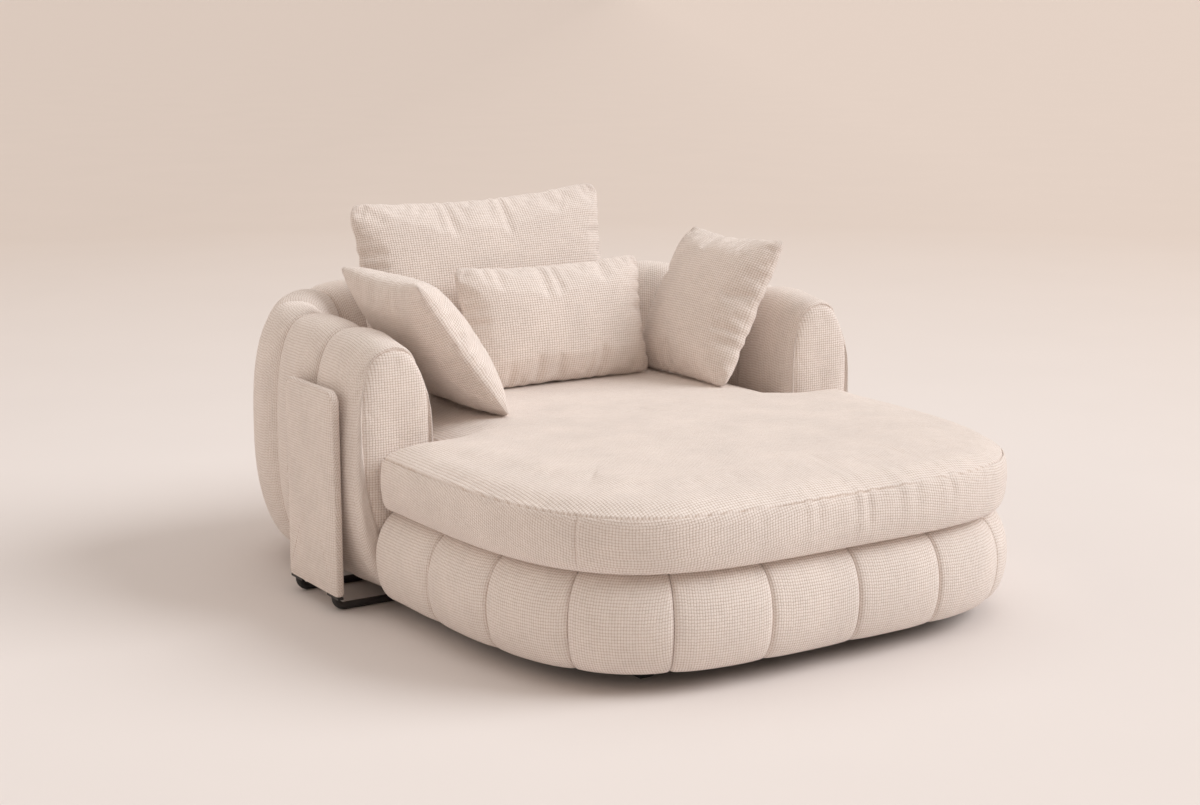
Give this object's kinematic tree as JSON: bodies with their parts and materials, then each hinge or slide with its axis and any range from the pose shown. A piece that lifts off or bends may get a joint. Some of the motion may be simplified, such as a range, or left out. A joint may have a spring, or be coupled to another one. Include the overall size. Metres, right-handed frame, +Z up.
{
  "type": "chaise longue",
  "caption": "Wide round-fronted chaise longue with a channelled wrap-around back and arms, a loose crowned seat cushion, loose pillows and side panels on black runners.",
  "frame": {"origin": "on the floor under the middle of the plan's width and depth", "axes": "+X to the right as seen from the front, +Y to the back, +Z up"},
  "size_m": [1.668, 1.9439, 0.9984],
  "materials": {
    "weave": "cream chunky basket weave",
    "filling": "pale foam and fibre",
    "plywood": "bare plywood",
    "webbing": "dark elastic webbing",
    "dust_cloth": "black spun cloth",
    "black_metal": "satin black powder coat",
    "black_plastic": "matte black",
    "fasteners": "zinc plated",
    "zip_tape": "beige coil zip"
  },
  "bodies": {
    "chaise_frame": {"arm_back_bottom_rail": "plywood", "arm_back_crown_formers": "plywood", "arm_back_ribs": "plywood", "arm_back_top_rail": "plywood", "arm_channel_front_left": "weave", "arm_channel_front_right": "weave", "arm_channel_rear_left": "weave", "arm_channel_rear_right": "weave", "arm_front_panel_left": "weave", "arm_front_panel_right": "weave", "back_channel_left": "weave", "back_channel_middle": "weave", "back_channel_right": "weave", "base_bottom_frame": "plywood", "base_channel_pads": "weave", "base_rails": "plywood", "base_top_frame": "plywood", "base_uprights": "plywood", "block_feet": "black_plastic", "corner_channel_back_left": "weave", "corner_channel_back_right": "weave", "corner_channel_middle_left": "weave", "corner_channel_middle_right": "weave", "corner_channel_side_left": "weave", "corner_channel_side_right": "weave", "cross_webbing": "webbing", "deck_pad": "filling", "dust_cover": "dust_cloth", "foot_screws": "fasteners", "frame_bolts": "fasteners", "front_runner": "black_metal", "long_webbing": "webbing", "rear_runner": "black_metal", "runner_plate_screws": "fasteners", "runner_saddles": "black_plastic", "saddle_screws": "fasteners", "side_mount_boards": "plywood", "side_panel_board_left": "plywood", "side_panel_board_right": "plywood", "side_panel_bolts": "fasteners", "side_panel_cover_left": "weave", "side_panel_cover_right": "weave"},
    "back_pillow": {"back_pillow_cover": "weave", "back_pillow_filling": "filling", "back_pillow_zip": "zip_tape"},
    "lumbar_pillow": {"lumbar_pillow_cover": "weave", "lumbar_pillow_filling": "filling", "lumbar_pillow_zip": "zip_tape"},
    "seat_cushion": {"seat_cushion_cover": "weave", "seat_cushion_filling": "filling", "seat_cushion_zip": "zip_tape"},
    "throw_pillow_left": {"throw_pillow_left_cover": "weave", "throw_pillow_left_filling": "filling", "throw_pillow_left_zip": "zip_tape"},
    "throw_pillow_right": {"throw_pillow_right_cover": "weave", "throw_pillow_right_filling": "filling", "throw_pillow_right_zip": "zip_tape"}
  },
  "joints": [
    {"name": "seat_cushion_lift", "type": "slide", "parent": "chaise_frame", "child": "seat_cushion", "axis": [0, 0, 1], "range_m": [0, 0.3]},
    {"name": "back_pillow_lift", "type": "slide", "parent": "seat_cushion", "child": "back_pillow", "axis": [0, 0.2079, 0.9781], "range_m": [0, 0.5]},
    {"name": "lumbar_pillow_lift", "type": "slide", "parent": "seat_cushion", "child": "lumbar_pillow", "axis": [0, 0.2079, 0.9781], "range_m": [0, 0.4]},
    {"name": "throw_pillow_left_lift", "type": "slide", "parent": "seat_cushion", "child": "throw_pillow_left", "axis": [0, 0, 1], "range_m": [0, 0.4]},
    {"name": "throw_pillow_right_lift", "type": "slide", "parent": "seat_cushion", "child": "throw_pillow_right", "axis": [0, 0, 1], "range_m": [0, 0.4]}
  ]
}
